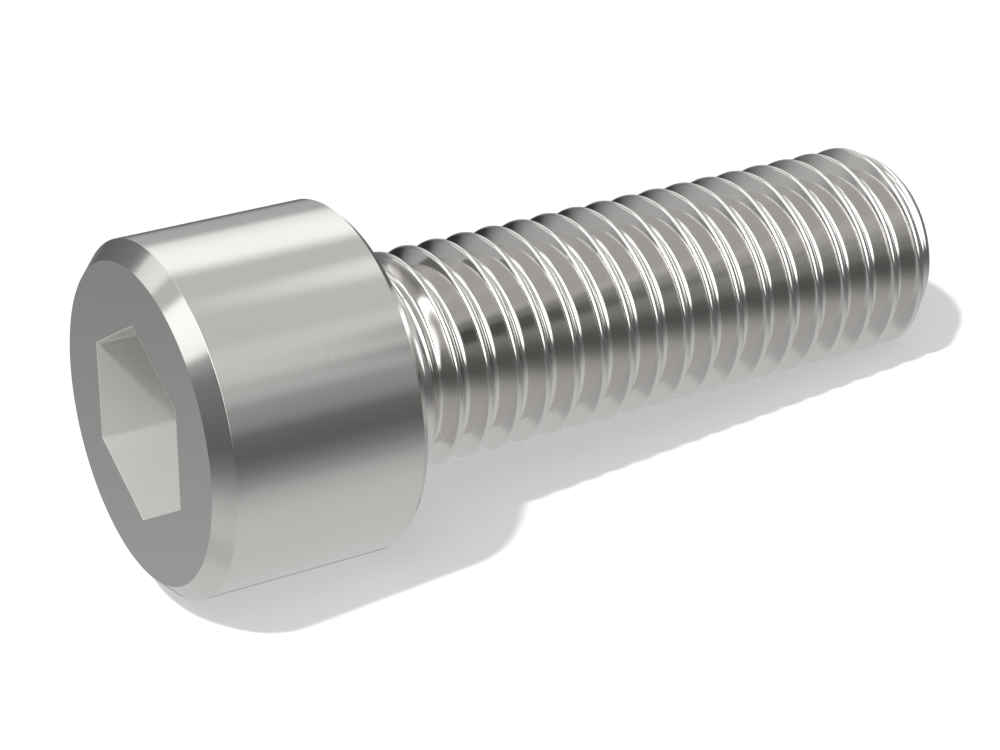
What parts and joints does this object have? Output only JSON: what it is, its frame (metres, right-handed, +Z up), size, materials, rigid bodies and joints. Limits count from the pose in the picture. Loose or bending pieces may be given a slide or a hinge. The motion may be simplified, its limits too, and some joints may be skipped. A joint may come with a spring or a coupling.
{
  "type": "socket head cap screw",
  "caption": "Hex socket head cap screw with a plain, chamfered cylindrical head and a right-hand metric thread running up to the head, lying on its side.",
  "frame": {"origin": "on the floor, below the middle of the lying screw's bounding box", "axes": "+Z up from the floor; +X from the head to the thread end, so the screw's own axis runs along +X and 6 degrees down; +Y across the screw"},
  "size_m": [0.041, 0.016, 0.0168],
  "materials": {
    "steel": "smooth bright bare steel, turned head and rolled thread"
  },
  "bodies": {
    "root": {"cap_screw": "steel"}
  },
  "joints": []
}
